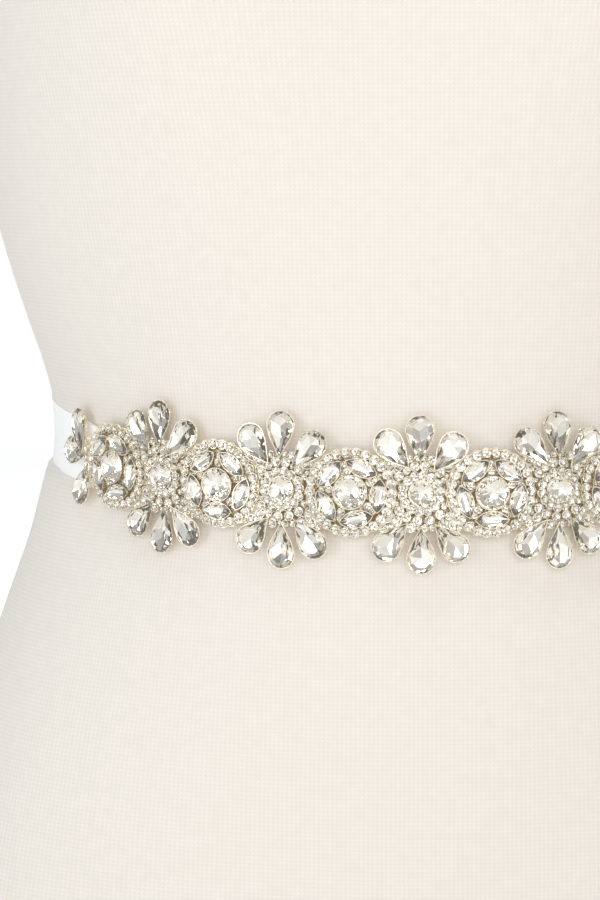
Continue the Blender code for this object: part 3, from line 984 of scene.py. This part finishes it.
def backing_disc(around, radius, out, thick, net):
    """A thin disc of net under a motif's small stones, ready to be bent onto the belt."""
    bpy.ops.object.select_all(action="DESELECT")
    bpy.ops.mesh.primitive_circle_add(
        vertices=NET_SIDES, radius=radius, fill_type="NGON", location=(around, 0.0, out)
    )
    bpy.ops.object.transform_apply(location=True)
    bpy.ops.object.mode_set(mode="EDIT")
    bpy.ops.mesh.select_all(action="SELECT")
    for _ in range(NET_RINGS):
        bpy.ops.mesh.inset(thickness=radius / (NET_RINGS + 1), depth=0.0)
    bpy.ops.mesh.select_all(action="SELECT")
    bpy.ops.mesh.extrude_region_move(TRANSFORM_OT_translate={"value": (0.0, 0.0, thick)})
    bpy.ops.mesh.select_all(action="SELECT")
    bpy.ops.mesh.normals_make_consistent(inside=False)
    bpy.ops.object.mode_set(mode="OBJECT")
    disc = bpy.context.active_object
    disc.data.transform(Matrix.Scale(MM, 4))
    disc.data.materials.append(net)
    return disc


def rim_wire(around, metal):
    """A fine wire that follows the outer edges of a medallion's small stones."""
    bpy.ops.object.select_all(action="DESELECT")
    bpy.ops.mesh.primitive_torus_add(
        major_radius=RIM_WIRE[0],
        minor_radius=RIM_WIRE[1],
        major_segments=RIM_RING[0] * RIM_WIRE_SIDES,
        minor_segments=RIM_WIRE_SIDES,
    )
    wire = bpy.context.active_object
    for vertex in wire.data.vertices:
        x, y, _ = vertex.co
        scallop = 1.0 + RIM_SCALLOP * math.cos(RIM_RING[0] * math.atan2(y, x))
        vertex.co.x = around + x * scallop
        vertex.co.y = y * scallop
        vertex.co.z += MOTIF_OUT + RIM_WIRE_UP
    wire.data.transform(Matrix.Scale(MM, 4))
    wire.data.materials.append(metal)
    return wire


def around_ring(count, radius, offset=0.0):
    for k in range(count):
        heading = 2.0 * math.pi * (k + offset) / count
        yield heading, radius * math.cos(heading), radius * math.sin(heading)


def room_beside_pear(along, across):
    """The room beside a teardrop stone that points back from the middle of its head."""
    half = (PEAR_HEAD + PEAR_TIP) / 2.0
    x = along + PEAR_TIP - half
    taper = 1.0 - min(1.0, max(0.0, (half - x) / (2.0 * half)))
    return max(abs(across) - PEAR_HEAD * taper, abs(x) - half)


def room_beside_navette(along, across):
    """The room beside a pointed oval stone."""
    half_length, half_width = NAVETTE_HALF
    taper = max(0.0, 1.0 - (along / half_length) ** 2)
    return max(abs(across) - half_width * taper, abs(along) - half_length)


def make_flower(name, place, tools):
    motif = Motif(name, tools.library, tools.belt)
    middle = place * PITCH
    ring_out = FLOWER_RING[1] + CHATON_RADIUS

    def room_at(x, y):
        rooms = [math.hypot(x, y) - ring_out, FIELD_UP - abs(y)]
        rooms.append(math.hypot(PITCH - abs(x), y) - MEDALLION_RADIUS)
        for head_x, head_y, angle in FLOWER_PEARS:
            seen = turned(x - head_x, y - head_y, math.radians(angle))
            rooms.append(room_beside_pear(*seen) + PEAR_LAP)
        return min(rooms)

    motif.lay(backing_disc(middle, *FLOWER_NET, tools.net))
    motif.put("round", middle, 0.0, 0.0, FLOWER_CENTRE_SHARE)
    for head_x, head_y, angle in FLOWER_PEARS:
        motif.put("pear", middle + head_x, head_y, math.radians(angle))
    for heading, x, y in around_ring(*FLOWER_RING, FLOWER_RING_TURN):
        motif.put("chaton", middle + x, y, heading)
    motif.pave(middle, room_at, FLOWER_PAVE)
    return motif.finish()


def make_medallion(name, place, tools):
    motif = Motif(name, tools.library, tools.belt)
    middle = place * PITCH
    lean = MEDALLION_OTHER_LEAN if place % 4 == 1 else MEDALLION_LEAN
    navettes = list(around_ring(NAVETTES, NAVETTE_RING, lean * NAVETTES / (2.0 * math.pi)))

    def room_at(x, y):
        rooms = [math.hypot(x, y) - ROUND_RADIUS]
        rooms.append(RIM_RING[1] - CHATON_RADIUS - math.hypot(x, y))
        for heading, navette_x, navette_y in navettes:
            seen = turned(x - navette_x, y - navette_y, heading + math.pi / 2.0)
            rooms.append(room_beside_navette(*seen))
        return min(rooms)

    motif.lay(backing_disc(middle, *MEDALLION_NET, tools.net))
    motif.lay(rim_wire(middle, tools.silver))
    motif.put("round", middle, 0.0, MEDALLION_TURN * place)
    for heading, x, y in navettes:
        motif.put("navette", middle + x, y, heading + math.pi / 2.0)
    for heading, x, y in around_ring(*RIM_RING):
        motif.put("chaton", middle + x, y, heading)
    motif.pave(middle, room_at, MEDALLION_PAVE)
    return motif.finish()


def make_spray(name, side, tools):
    motif = Motif(name, tools.library, tools.belt)
    for angle, past, height in SPRAY_PEARS:
        heading = math.radians(angle if side < 0 else 180.0 - angle)
        x = side * (SPRAY_ROOT + past) + PEAR_TIP * math.cos(heading)
        motif.put("pear", x, height + PEAR_TIP * math.sin(heading), heading)
    for up in SPRAY_COLUMN:
        around = side * (SPRAY_ROOT + SPRAY_COLUMN_PAST)
        motif.put("chaton", around, up, 0.0, SPRAY_COLUMN_SHARE)
    return motif.finish()


# The studio

def make_floor():
    bpy.ops.object.select_all(action="DESELECT")
    bpy.ops.mesh.primitive_circle_add(vertices=96, radius=FLOOR_RADIUS, fill_type="NGON")
    floor = bpy.context.active_object
    floor.name = "studio_floor"
    paint = Finish("pale_floor", roughness=0.9, emission_strength=FLOOR_GLOW)
    place, _ = paint.coordinates("Object")
    away = paint.node("ShaderNodeVectorMath", {"operation": "LENGTH"}, {0: place}, 1)
    paint.feed(
        base_color=paint.mix(paint.noise(place, scale=6.0), *PALE_FLOOR),
        emission_color=paint.mix(away.step(*FLOOR_GLOW_FROM), FLOOR_NEAR, (1.0, 1.0, 1.0)),
    )
    floor.data.materials.append(paint.material)


def make_room():
    """Soft surroundings that light the part, behind the plain white that the camera sees."""
    world = bpy.data.worlds.new("studio")
    bpy.context.scene.world = world
    world.use_nodes = True
    room = Graph(world.node_tree)
    direction, _ = room.coordinates(0)

    def towards(spot, near, far, depth):
        """A soft patch of the surroundings, seen in one direction."""
        facing = room.node(
            "ShaderNodeVectorMath",
            {"operation": "DOT_PRODUCT"},
            {0: direction, 1: Vector(spot).normalized()},
            1,
        )
        return facing.step(math.cos(far), math.cos(near)) * depth

    shade = 0.0
    for patch in ROOM_SHADES:
        shade = shade + towards(*patch)
    side, near, far, cool = ROOM_COOL
    light = room.mix(shade, room.mix(towards(side, near, far, 1.0), ROOM_LIGHT, cool), ROOM_DARK)
    strength = (towards(*ROOM_GLOW) + 1.0) * ROOM_STRENGTH
    path = room.node("ShaderNodeLightPath", {}, {})
    dressed = room.node("ShaderNodeBackground", {}, {"Color": light, "Strength": strength})
    white = {"Color": (1.0, 1.0, 1.0, 1.0), "Strength": 1.0}
    plain = room.node("ShaderNodeBackground", {}, white)
    seen = room.node("ShaderNodeMixShader", {}, {0: path, 1: dressed, 2: plain})
    room.tree.links.new(seen.socket, room.tree.nodes["World Output"].inputs["Surface"])


def make_softbox(box):
    light = bpy.data.lights.new(box.name, "AREA")
    light.shape = "RECTANGLE"
    light.size, light.size_y = box.size
    light.energy = box.power
    light.color = box.colour
    lamp = bpy.data.objects.new(box.name, light)
    bpy.context.scene.collection.objects.link(lamp)
    lamp.location = box.place
    aim = Vector(SOFTBOX_TARGET) - Vector(box.place)
    lamp.rotation_euler = aim.to_track_quat("-Z", "Y").to_euler()


def make_studio():
    make_floor()
    make_room()
    for box in SOFTBOXES:
        make_softbox(box)
    bpy.context.scene.view_settings.view_transform = "Standard"


def make_camera():
    camera = bpy.data.cameras.new("camera")
    camera.sensor_width = SENSOR
    camera.lens = LENS
    eye = bpy.data.objects.new("camera", camera)
    bpy.context.scene.collection.objects.link(eye)
    eye.location = Vector(CAMERA_PLACE) * MM
    eye.rotation_euler = (math.pi / 2.0 - CAMERA_DOWN, 0.0, 0.0)
    bpy.context.scene.camera = eye


def main():
    skin = form_skin()
    skin.data.materials.clear()
    skin.data.materials.append(jersey())
    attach(skin, "root")
    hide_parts("dress_form")
    belt = Belt(skin)

    white = satin()
    band, band_length = make_ribbon(belt, white)
    knot = make_knot(belt, white)
    flat = (RIBBON_WIDTH * MM, band_length * MM)
    for tail in TAILS:
        piece = make_tail(tail, belt, white)
        flat = (RIBBON_WIDTH * MM, tail.length * MM)

    metal = silver()
    library = make_library(metal)
    tools = Tools(library, belt, metal, backing())
    for number, place in enumerate(FLOWERS, 1):
        make_flower(f"flower_{number}", place, tools)
    for number, place in enumerate(MEDALLIONS, 1):
        make_medallion(f"medallion_{number}", place, tools)
    make_spray("spray_left", -1, tools)
    make_spray("spray_right", 1, tools)
    for source in library.values():
        bpy.data.objects.remove(source)

    make_studio()
    make_camera()


main()
